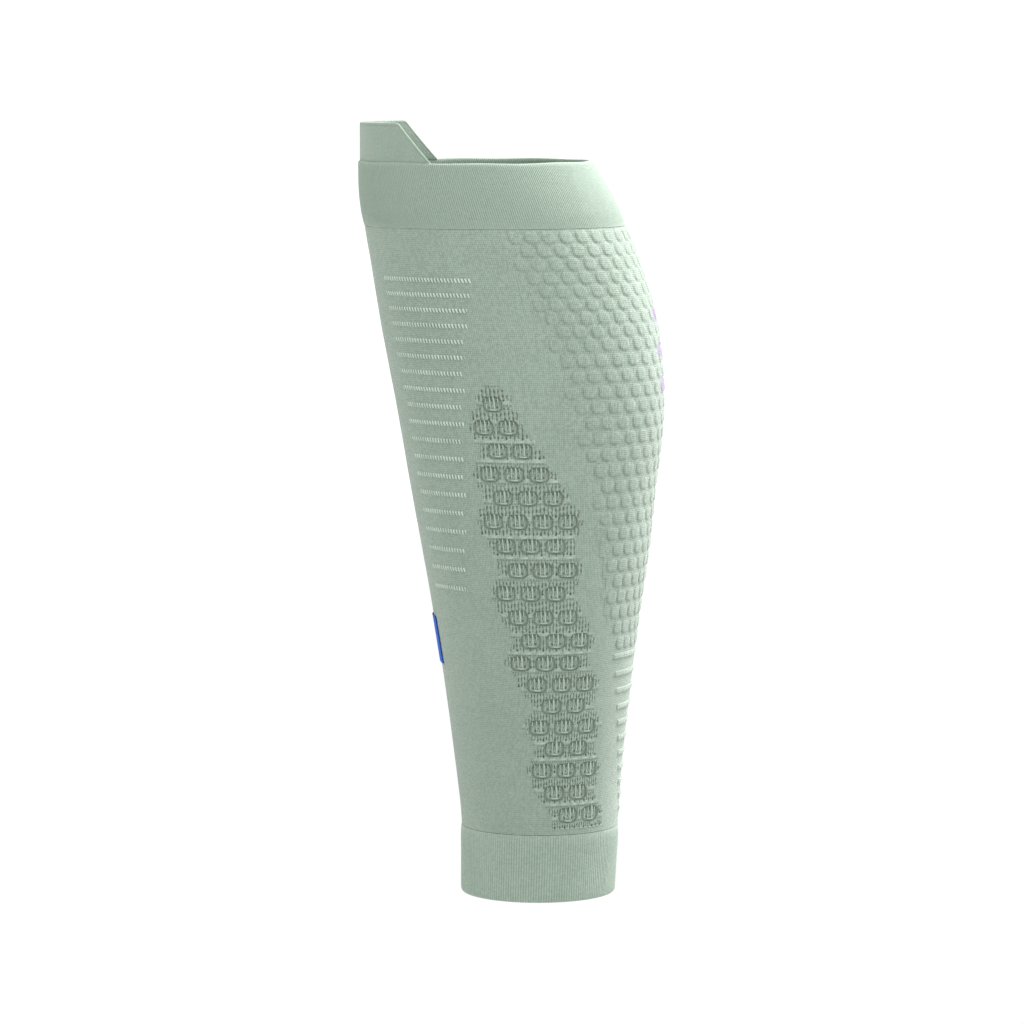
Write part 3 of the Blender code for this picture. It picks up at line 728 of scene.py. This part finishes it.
def bubble_relief(share, height):
    """The bubbles: steepest at the lower front edge, with a pinched line where a bubble
    meets the plain grid, darkened by painted shade that is heaviest at its lower front."""
    row = np.abs(height[..., None] - bubble_heights).argmin(axis=-1)
    middle = bubble_heights[row]
    pitch = np.interp(middle, *zip(*BUBBLE_PITCHES))
    stagger = 0.5 * ((row + 1) % 2)
    from_back = (1 - np.abs(share) + drawn_in(1 - np.abs(share))) / pitch
    column = np.round(from_back - stagger) + stagger
    bubble = 1 - column * pitch + drawn_in(column * pitch)
    foremost = np.interp(middle, *zip(*FIRST_BUBBLE))
    whole = bubble > foremost
    bubble = np.where(bubble - pitch < foremost, bubble + 0.006, bubble)
    u = (np.abs(share) - bubble) * half_girth(middle) / BUBBLE_HALF_WIDE
    v = (height - middle) / BUBBLE_HALF_TALL
    square = np.abs(u) ** BUBBLE_SQUARENESS + np.abs(v) ** BUBBLE_SQUARENESS
    size = square ** (1 / BUBBLE_SQUARENESS)
    toward = np.clip((-0.75 * u - 0.66 * v) / np.maximum(np.hypot(u, v), 0.3), -1, 1)
    shoulder = 0.40 - 0.14 * toward
    dome = rounded((1.04 - size) / shoulder)
    crown = 1 + 0.06 * (1 - np.clip(size, 0, 1))
    pinch = np.exp(-(((size - 1.05) / 0.10) ** 2))
    lift = np.where(whole, BUBBLE_RISE * dome * crown - PINCH_DEPTH * pinch, 0.0)
    # Painted shade in each bubble's pinch, heaviest on its lower front side
    painted_shade = np.where(whole, pinch * (0.08 + 0.36 * np.clip(toward, 0, 1)), 0.0)
    below_cuff = np.clip((BODY_HIGH - 0.0006 - height) / 0.0008, 0, 1)
    return lift * below_cuff + swelling(share, height), painted_shade * below_cuff


def swelling(share, height):
    """The padding's own thickness, that grows from the zone's edge to the middle of the calf."""
    round_leg = np.clip((np.abs(share) - 0.62) / 0.30, 0, 1)
    from_foot = np.clip((height - BUBBLE_FOOT - 0.004) / 0.05, 0, 1)
    from_cuff = np.clip((BODY_HIGH - height) / 0.03, 0, 1)
    up_leg = np.sin(math.pi / 2 * (from_foot * from_cuff)) ** 2
    return CALF_SWELL * round_leg * round_leg * (3 - 2 * round_leg) * up_leg


bubble_knit = knit_material("sage_bubble_knit", SAGE, SAGE_SHADE, 0.86, 0.86, stitch_shade=0.5, uneven=0.14)

# Three plain lilac bars are printed one above the other on the middle of the calf
PRINT_HALF_WIDE = 12.5
PRINT_FOOT = 229.0
PRINT_PITCH = 15.5
PRINT_BARS = 3
PRINT_TALL = 6.5
PRINT_LILAC = (0.235, 0.180, 0.290)
tree = bubble_knit.node_tree
across, up = flat_place(tree)
from_shin = maths(tree, "ABSOLUTE", across)
beside = maths(tree, "GREATER_THAN", from_shin, FLAT_HALF * 1000 - PRINT_HALF_WIDE)
up = maths(tree, "DIVIDE", maths(tree, "SUBTRACT", up, PRINT_FOOT), PRINT_PITCH)
in_bar = maths(tree, "LESS_THAN", maths(tree, "FRACT", up), PRINT_TALL / PRINT_PITCH)
in_rows = maths(tree, "COMPARE", up, PRINT_BARS / 2, PRINT_BARS / 2)
printed = maths(tree, "MULTIPLY", maths(tree, "MULTIPLY", beside, in_bar), in_rows)
ink = tree.nodes.new("ShaderNodeMix")
ink.data_type = "RGBA"
tree.links.new(maths(tree, "MULTIPLY", printed, 0.88), ink.inputs["Factor"])
shader = tree.nodes["Principled BSDF"]
tree.links.new(shader.inputs["Base Color"].links[0].from_socket, ink.inputs["A"])
ink.inputs["B"].default_value = (*PRINT_LILAC, 1)
tree.links.new(ink.outputs["Result"], shader.inputs["Base Color"])

calf_panel = knit_shell("calf_bubble_knit", bubble_blocks, 4, bubble_relief, bubble_knit)
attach(calf_panel, "root")
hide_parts("calf_bubble_panel")

# Net vents
# The open net on either side of the leg: cells of thin knit that hang in a round gap by a few
# strands, on a ground of upright loops with rows of floats, each with a row of pinholes above
# it. A fine plating yarn lies behind the whole net, so that no hole goes through to the skin, and
# the dark of its pinholes, slits, pits and moats is painted shade.
CELL_CORNER = 0.0028
MOAT = 0.0010
PAD_DEPTH = 0.00040
CELL_PITS = [
    # across, up, half width, half height, how much painted shade
    (-0.0017, -0.0012, 0.00042, 0.00050, 1.0),
    (0.0020, -0.0011, 0.00050, 0.00055, 1.0),
    (-0.0001, 0.0002, 0.00030, 0.00045, 0.8),
    (-0.0026, 0.0016, 0.00060, 0.00035, 0.7),
    (0.0000, 0.0021, 0.00045, 0.00060, 0.9),
    (0.0019, 0.0019, 0.00035, 0.00080, 0.8),
    (-0.0018, 0.0022, 0.00035, 0.00050, 0.7),
    (0.0031, 0.0012, 0.00030, 0.00070, 0.6),
]
FLOAT_HEIGHTS = [
    # the rows of pinholes, from the top
    *(0.2363, 0.2277, 0.2191, 0.2106, 0.2019, 0.1930, 0.1840, 0.1760, 0.1680),
    *(0.1588, 0.1499, 0.1411, 0.1326, 0.1239, 0.1156, 0.1077, 0.0989),
    *(0.0901, 0.0819, 0.0743, 0.0668, 0.0597, 0.0526, 0.0460, 0.0395),
    0.0340,
]
FLOAT_FIRST = 0.475
FLOAT_PITCH = 0.0421
PINHOLE = 0.00042


def cell_places(share, height):
    """Each point's place across and up from the middle of its nearest cell."""
    row = np.abs(height[..., None] - NET_HEIGHTS).argmin(axis=-1)
    along = (np.abs(share) - NET_FIRST[row]) * NET_GIRTH[row]
    cell = np.clip(np.round(along / NET_PITCH), 0, NET_COUNT[row] - 1)
    return along - cell * NET_PITCH, height - NET_HEIGHTS[row]


def cell_edge(u, v):
    """How far outside its nearest cell's rounded outline a point is; less than 0 inside."""
    corner_u = np.abs(u) - CELL_HALF_WIDE + CELL_CORNER
    corner_v = np.abs(v) - CELL_HALF_TALL + CELL_CORNER
    outside = np.hypot(np.maximum(corner_u, 0), np.maximum(corner_v, 0))
    return outside + np.minimum(np.maximum(corner_u, corner_v), 0) - CELL_CORNER


def net_ground(share, height):
    """The ground's upright loops between its rows of floats: their lift, and the painted shade in their
    slits and pinholes.
    """
    rows = np.array(FLOAT_HEIGHTS)
    above = np.clip(np.searchsorted(-rows, -height, side="right") - 1, 0, len(rows) - 1)
    below = np.minimum(above + 1, len(rows) - 1)
    down = rows[above] - height
    up = height - np.where(below > above, rows[below], rows[above] - 0.0070)
    turn = (np.abs(share) - FLOAT_FIRST) / FLOAT_PITCH
    column = (turn + 0.5) % 1 - 0.5
    half_column = turn % 1 - 0.5
    girth = half_girth(height) * FLOAT_PITCH
    slit = 0.5 - 0.5 * np.cos(2 * math.pi * (4 * turn + 0.5))
    ahead = np.round(4 * turn + 0.5)
    broken = 0.5 + 0.5 * np.cos(2 * math.pi * (height / 0.0026 + 0.37 * ahead + 0.2 * np.sin(2.7 * ahead)))
    slit_here = np.clip((down - 0.0026) / 0.0008, 0, 1) * (0.40 + 0.75 * broken)
    near_row = np.minimum(np.abs(down), np.abs(up))
    pinhole = np.exp(-((((column * girth) ** 2 + near_row**2) / PINHOLE**2) ** 1.5))
    tick = np.exp(-((half_column * girth / 0.0003) ** 2) - (near_row / 0.0008) ** 2)
    curl = np.exp(-(((down - 0.0024) / 0.00055) ** 2)) * (0.65 + 0.35 * np.cos(2 * math.pi * 5 * turn))
    lift = 0.00016 - 0.00034 * slit * slit_here - 0.0007 * pinhole - 0.0004 * tick - 0.0003 * curl
    # Painted shade in the slits, pinholes, ticks and curls
    painted_shade = np.maximum(slit * slit_here, np.maximum(1.3 * pinhole, tick))
    return lift, np.maximum(painted_shade, 0.85 * curl)


def net_relief(share, height):
    """The net: its ground, and the cells, each with its moat and its pits, with painted shade in them."""
    u, v = cell_places(share, height)
    edge = cell_edge(u, v)
    lift, painted_shade = net_ground(share, height)
    grain = np.cos(2 * math.pi * u / 0.0011) * np.cos(2 * math.pi * v / 0.0013)
    moat = np.exp(-(((edge + 0.6 * MOAT) / (0.55 * MOAT)) ** 2)) * (0.82 + 0.25 * grain)
    inside = np.clip(-edge / 0.0003, 0, 1)
    pad_lift = -PAD_DEPTH + 0.00008 * grain - 0.00030 * moat
    # Painted shade over each cell's sunken pad
    pad_shade = 0.34 - 0.18 * grain
    for pit_u, pit_v, half_wide, half_tall, dark in CELL_PITS:
        pit = np.exp(-((((u - pit_u) / half_wide) ** 2 + ((v - pit_v) / half_tall) ** 2) ** 1.3))
        pad_lift = pad_lift - 0.00035 * dark * pit
        pad_shade = np.maximum(pad_shade, 1.35 * dark * pit)
    lift = lift * (1 - inside) + pad_lift * inside
    painted_shade = painted_shade * (1 - inside) + pad_shade * inside
    # Painted shade in the moat round each cell
    painted_shade = np.maximum(painted_shade, 0.95 * moat)
    return np.clip(lift, -0.0010, 0.0004), np.clip(painted_shade, 0, 1.3)


def yarns(name, strands, material):
    """Yarns on the knit as one mesh. Each strand is (its shares round, its heights, its lifts,
    its radius), with the same number of places in each."""
    sides = 6
    share, height, lift = (np.array([strand[part] for strand in strands]) for part in range(3))
    radius = np.array([strand[3] for strand in strands])[:, None]
    line = leg_points(share, height, lift)
    out = leg_points(share, height, lift + 0.001) - line
    out /= np.linalg.norm(out, axis=-1, keepdims=True)
    ahead = np.gradient(line, axis=1)
    beside = np.cross(ahead, out)
    beside /= np.linalg.norm(beside, axis=-1, keepdims=True)
    count, places = share.shape
    taper = np.ones(places)
    taper[[0, -1]] = 0.45
    turn = np.linspace(0, 2 * math.pi, sides, endpoint=False)
    thick = (radius * taper)[..., None, None]
    ring = np.cos(turn)[:, None] * out[:, :, None] + np.sin(turn)[:, None] * beside[:, :, None]
    points = line[:, :, None] + thick * ring
    strand, place, side = (grid.ravel() for grid in np.mgrid[0:count, 0 : places - 1, 0:sides])
    corners = [(place, side), (place + 1, side), (place + 1, side + 1), (place, side + 1)]
    spots = [(strand * places + a) * sides + b % sides for a, b in corners]
    flats = [np.stack([b * 0.45, strand * 3 + a * 0.8], axis=-1) for a, b in corners]
    faces = np.stack(spots, axis=1).tolist()
    pattern = np.stack(flats, axis=1).reshape(-1, 2).tolist()
    for number in range(count):
        for at, order in ((0, range(sides)), (places - 1, range(sides - 1, -1, -1))):
            faces.append([(number * places + at) * sides + k for k in order])
            pattern += [(k * 0.45, number * 3.0) for k in order]
    no_shade = np.zeros(points[..., 0].size)
    return knit_piece(name, points.reshape(-1, 3), faces, pattern, no_shade, material)


CELL_STRANDS = [
    # places across and up, radius, lift at the first end and at the last
    ([(-0.0011, 0.0036), (-0.0009, 0.0008), (-0.0011, -0.0020)], 0.00026, (0.0, -0.0002)),
    ([(0.0008, 0.0038), (0.0010, 0.0008), (0.0009, -0.0021)], 0.00040, (0.0, -0.00013333)),
    ([(-0.0014, -0.0021), (0.0002, -0.0023), (0.0019, -0.0022)], 0.00036, (-0.0004, -0.0002)),
    ([(-0.0003, 0.0009), (0.0003, -0.0002), (-0.0004, -0.0014)], 0.00022, (-0.0004, -0.00033333)),
    ([(-0.0031, 0.0030), (-0.0029, 0.0020), (-0.0030, 0.0008)], 0.00024, (-0.0001, -0.00023333)),
    ([(0.0026, 0.0032), (0.0027, 0.0020), (0.0026, 0.0006)], 0.00024, (-0.0001, -0.00023333)),
    ([(-0.0025, 0.0004), (-0.0029, -0.0008), (-0.0027, -0.0018)], 0.00024, (-0.0005, -0.00036667)),
]
STRAND_PLACES = 7
FLOAT_RADIUS = 0.00042
FLOAT_LIFTS = (-0.0003, 0.0001)
FLOAT_DOWN = 0.0013
FLOAT_LONG = 0.60


def net_strands(side):
    """The light yarns of a vent: the strands that each cell hangs by with its loops, and the
    floats, that lie between the pinholes and stop where a cell is."""
    chance = np.random.default_rng(11)
    strands = []

    def strand(share, height, girth, points, radius, lifts):
        jitter = chance.normal(0, 0.00007, 2)
        place = np.array(points)
        even = np.linspace(0, len(place) - 1, STRAND_PLACES)
        u, v = (np.interp(even, range(len(place)), place[:, column]) for column in (0, 1))
        lift = np.linspace(*lifts, STRAND_PLACES)
        around = side * (share + (u + jitter[0]) / girth)
        strands.append((around, height + v + jitter[1], lift, radius * chance.uniform(0.9, 1.1)))

    for row, (first, count) in enumerate(NET_CHART):
        for cell in range(count):
            middle = first + cell * NET_PITCH / NET_GIRTH[row]
            for points, radius, lifts in CELL_STRANDS:
                strand(middle, NET_HEIGHTS[row], NET_GIRTH[row], points, radius, lifts)
    for height in FLOAT_HEIGHTS[:-1]:
        girth = float(half_girth(height))
        half = FLOAT_LONG / 2 * FLOAT_PITCH * girth
        for k in range(-4, 10):
            middle = FLOAT_FIRST + (k - 0.2) * FLOAT_PITCH
            spots = middle + np.array([-half, 0, half]) / girth
            u, v = cell_places(spots, np.full(3, height - FLOAT_DOWN))
            if in_vent(spots, height - FLOAT_DOWN).all() and (cell_edge(u, v) > -0.0002).all():
                line = [(-half, -FLOAT_DOWN), (0.0, -FLOAT_DOWN - 0.0001), (half, -FLOAT_DOWN)]
                strand(middle, height, girth, line, FLOAT_RADIUS, FLOAT_LIFTS)
    return strands


NET_GROUND_SAGE = (0.275, 0.352, 0.289)
net_knit = knit_material("sage_net_knit", NET_GROUND_SAGE, SAGE_SHADE, 0.95, 0.8, relief=0.00012, uneven=0.16)
NET_SAGE = (0.345, 0.435, 0.360)
net_yarn = knit_material("sage_net_yarn", NET_SAGE, SAGE_SHADE, 0.9, 0.5, relief=0.00008, stitch_shade=0.2)
for side, node in ((1, "vent_outer"), (-1, "vent_inner")):
    here = vent_blocks & (block_shares * side > 0)
    net = knit_shell(node + "_net", here, 8, net_relief, net_knit)
    strands = yarns(node + "_yarns", net_strands(side), net_yarn)
    for piece in (net, strands):
        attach(piece, "root")
        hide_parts(node)

# Knee cuff
# The ribbed band below the knee, wider and finer than the one at the ankle. Its rim is a turned
# edge that waves a little where no leg holds it, and its ribs follow the wales of the sleeve.
KNEE_RIBS = 340
CUFF_LOW = SLEEVE_HEIGHT - KNEE_CUFF_HEIGHT
seam_up = [
    (CUFF_LOW - 0.0001, 0.00005, 0.3),
    (CUFF_LOW + 0.0008, 0.0002, 0.7),
    (CUFF_LOW + 0.0022, 0.00035, 1.0),
    (CUFF_LOW + 0.0042, 0.0005, 1.0),
]
face_up = [(height, CUFF_RISE, 1.0) for height in np.linspace(CUFF_LOW + 0.0062, SLEEVE_HEIGHT - 0.0016, 11)]
rim_over = [
    (SLEEVE_HEIGHT - 0.0006, 0.0005, 0.8),
    (SLEEVE_HEIGHT - 0.0001, 0.0001, 0.5),
    (SLEEVE_HEIGHT, -0.0004, 0.4),
    (SLEEVE_HEIGHT - 0.0004, -0.0009, 0.6),
]
inner_down = [
    (height, -KNIT_WALL, 1.0) for height in np.linspace(SLEEVE_HEIGHT - 0.0014, CUFF_LOW - 0.0001, 9)
]
KNEE_WALE = 2 * FLAT_HALF * 1000 / KNEE_RIBS
knee_rib = knit_material(
    "sage_knee_rib_knit", SAGE, SAGE_SHADE, KNEE_WALE, 0.62, relief=0.00005, stitch_shade=0.12, uneven=0.05
)
knee_profile = seam_up + face_up + rim_over + inner_down
knee_cuff = band("knee_rib_band", knee_profile, KNEE_RIBS, 0.00011, 0.34, knee_rib, wave=0.0003)
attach(knee_cuff, "root")
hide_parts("knee_cuff")

# Pull tab
# The tab that the wearer pulls the sleeve up by: doubled jersey that stands on the front of the
# knee cuff's rim. Its slanted sides are folded edges, held by a fine line of stitching.
TAB_HEIGHT = 0.0176
TAB_FOOT_SHARE = 0.371
TAB_HEAD_SHARE = 0.262
TAB_THICK = 0.0013
TAB_CORNER = 0.0012


SEAM_IN = 0.0014


def folded_patch(name, low, high, half_share, lift, thick, edge, columns, rows, material, corner):
    """A patch of fabric on the front of the leg with rounded edges, and a line pressed or sewn
    along them. half_share gives how far round it reaches at a height on either side, edge is its
    rounding's width, and corner is the radius of its upper corners."""
    up = np.linspace(0, 1, rows + 1)
    across = np.linspace(-1, 1, columns + 1)
    near_edge = np.sign(across) * (1 - (1 - np.abs(across)) ** 1.25)
    v = low + (high - low) * (1 - (1 - up) ** 1.2)[:, None]
    girth = half_girth(np.minimum(v, SLEEVE_HEIGHT))
    half = half_share(v, near_edge[None, :])
    from_top = high - v
    cut = corner - np.sqrt(np.clip(corner**2 - (corner - from_top) ** 2, 0, None))
    cut = np.where(from_top < corner, cut, 0)
    share = (half - cut / girth) * near_edge[None, :]
    from_side = (half - cut / girth - np.abs(share)) * girth
    inside = np.minimum(np.minimum(from_side, from_top), v - low)
    seam = 0.00008 * np.exp(-(((inside - SEAM_IN) / 0.00025) ** 2))
    out = thick / 2 * rounded(inside / edge)
    v = np.broadcast_to(v, share.shape)
    front = leg_points(share, v, lift + out - seam)
    behind = leg_points(share, v, lift - out + seam)
    count = columns + 1
    row, column = (grid.ravel() for grid in np.mgrid[0:rows, 0:columns])
    corner_at = row * count + column
    quads = np.stack([corner_at, corner_at + 1, corner_at + count + 1, corner_at + count], axis=1)
    number = np.arange(front[..., 0].size).reshape(share.shape)
    other = number + number.size
    at_side = np.arange(count)[None, :] % columns == 0
    at_end = np.arange(rows + 1)[:, None] % rows == 0
    other = np.where((inside <= 0) | at_side | at_end, number, other).ravel()
    faces = quads.tolist() + other[quads[:, ::-1]].tolist()
    flat = np.stack([share * FLAT_HALF * 1000, v * 1000], axis=-1).reshape(-1, 2)
    pattern = np.concatenate([flat[quads.ravel()], flat[quads[:, ::-1].ravel()]])
    points = np.concatenate([front.reshape(-1, 3), behind.reshape(-1, 3)])
    stitching = 0.30 * np.exp(-(((inside - SEAM_IN) / 0.0002) ** 2))
    # Painted shade along the patch's edges, that tones down their highlight, and darker along its stitching
    # line
    painted_shade = np.tile((stitching + 0.35 * np.exp(-((inside / 0.0004) ** 2))).ravel(), 2)
    return knit_piece(name, points, faces, pattern, painted_shade, material, crease=80)


def tab_half_share(height, side):
    """The tab slants from its foot to its head, and is cut a little wider on the inner side."""
    up = np.clip((height - SLEEVE_HEIGHT) / TAB_HEIGHT, 0, 1)
    wider = np.where(side < 0, 0.010 + 0.002 * up, 0.0)
    return TAB_FOOT_SHARE + (TAB_HEAD_SHARE - TAB_FOOT_SHARE) * up + wider


tab_knit = knit_material("sage_tab_jersey", SAGE, SAGE_SHADE, 0.62, 0.55, relief=0.00012, uneven=0.08)
tab_foot, tab_head = SLEEVE_HEIGHT - 0.0012, SLEEVE_HEIGHT + TAB_HEIGHT
pull_tab = folded_patch(
    "pull_tab", tab_foot, tab_head, tab_half_share, -0.0008, TAB_THICK, 0.0006, 150, 34, tab_knit, TAB_CORNER
)
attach(pull_tab, "root")
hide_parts("knee_tab")

# Shin label
# A small plain patch of smooth blue twill, pressed on with heat over the middle of the shin.
# Its cut edges are a little rounded, and painted shade darkens them.
LABEL_WIDTH = 0.0210
LABEL_TALL = 0.0220
LABEL_MIDDLE = BODY_LOW + (BODY_HIGH - BODY_LOW) * 0.314
LABEL_BLUE = (0.008, 0.095, 0.480)


def label_half_share(height, side):
    return LABEL_WIDTH / 2 / half_girth(height) * np.ones_like(side)


# The dark blue that painted shade mixes the label toward
LABEL_SHADE = (0.002, 0.030, 0.200)
label_twill = knit_material(
    "blue_label_twill", LABEL_BLUE, LABEL_SHADE, 0.5, 0.5, slant=2.0, relief=0.00006, uneven=0.05
)
label_twill.node_tree.nodes["Principled BSDF"].inputs["Sheen Weight"].default_value = 0.05
low, high = LABEL_MIDDLE - LABEL_TALL / 2, LABEL_MIDDLE + LABEL_TALL / 2
label = folded_patch(
    "shin_label_patch", low, high, label_half_share, 0.0004, 0.0006, 0.0003, 44, 44, label_twill, 0.0010
)
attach(label, "root")
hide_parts("shin_label")

# Floor and light
# A plain pale floor far below the sleeve and soft white light all round. Two large lamps, behind
# the calf and above, brighten the back, and two weak ones fill in the shin and the near side.
FLOOR_LEVEL = -3.0
FLOOR_HALF = 30
LAMP_TINT = (1.0, 0.94, 0.97)
floor_mesh = bpy.data.meshes.new("floor")
sides = [(-1, -1), (1, -1), (1, 1), (-1, 1)]
corners = [(x * FLOOR_HALF, y * FLOOR_HALF, FLOOR_LEVEL) for x, y in sides]
floor_mesh.from_pydata(corners, [], [(0, 1, 2, 3)])
floor = bpy.data.objects.new("floor", floor_mesh)
bpy.context.scene.collection.objects.link(floor)
floor_paint = bpy.data.materials.new("floor_paint")
floor_paint.use_nodes = True
paint = floor_paint.node_tree.nodes["Principled BSDF"]
paint.inputs["Base Color"].default_value = (0.90, 0.90, 0.90, 1)
paint.inputs["Roughness"].default_value = 0.9
paint.inputs["Specular IOR Level"].default_value = 0.0
floor_mesh.materials.append(floor_paint)

world = bpy.data.worlds.new("studio")
world.use_nodes = True
world.node_tree.nodes["Background"].inputs["Color"].default_value = (1, 1, 1, 1)
world.node_tree.nodes["Background"].inputs["Strength"].default_value = 1.12
bpy.context.scene.world = world
bpy.context.scene.view_settings.view_transform = "Standard"


def soft_lamp(name, place, aim, size, watts):
    """A square lamp at a place, aimed at a point."""
    lamp = bpy.data.lights.new(name, "AREA")
    lamp.shape = "SQUARE"
    lamp.size = size
    lamp.energy = watts
    lamp.color = LAMP_TINT
    stand = bpy.data.objects.new(name, lamp)
    stand.location = place
    facing = np.array(aim) - np.array(place)
    stand.rotation_euler = (
        math.atan2(math.hypot(facing[0], facing[1]), -facing[2]),
        0,
        math.atan2(-facing[0], facing[1]),
    )
    bpy.context.scene.collection.objects.link(stand)


soft_lamp("calf_side_lamp", (-1.0, 1.8, 1.4), (0.0, 0.0, 0.17), 1.6, 60)
soft_lamp("lamp_above", (-0.8, 1.0, 2.4), (0.0, 0.0, 0.25), 1.2, 115)
soft_lamp("shin_side_lamp", (-1.1, -1.9, 0.6), (0.0, 0.0, 0.20), 1.4, 9)
soft_lamp("near_lamp", (0.6, 0.2, 1.0), (0.0, 0.0, 0.25), 0.5, 5)

# Camera
# It stands level with the calf, far off to the outer side, and looks slightly down.
AIM = (0.0, -0.0118, 0.1732)
DISTANCE = 2.118
PITCH = math.radians(5.8)
lens = bpy.data.cameras.new("camera")
lens.angle = math.radians(12.5)
lens.dof.use_dof = False
camera = bpy.data.objects.new("camera", lens)
camera.location = (AIM[0] + DISTANCE * math.cos(PITCH), AIM[1], AIM[2] + DISTANCE * math.sin(PITCH))
camera.rotation_euler = (math.pi / 2 - PITCH, 0, math.pi / 2)
bpy.context.scene.collection.objects.link(camera)
bpy.context.scene.camera = camera
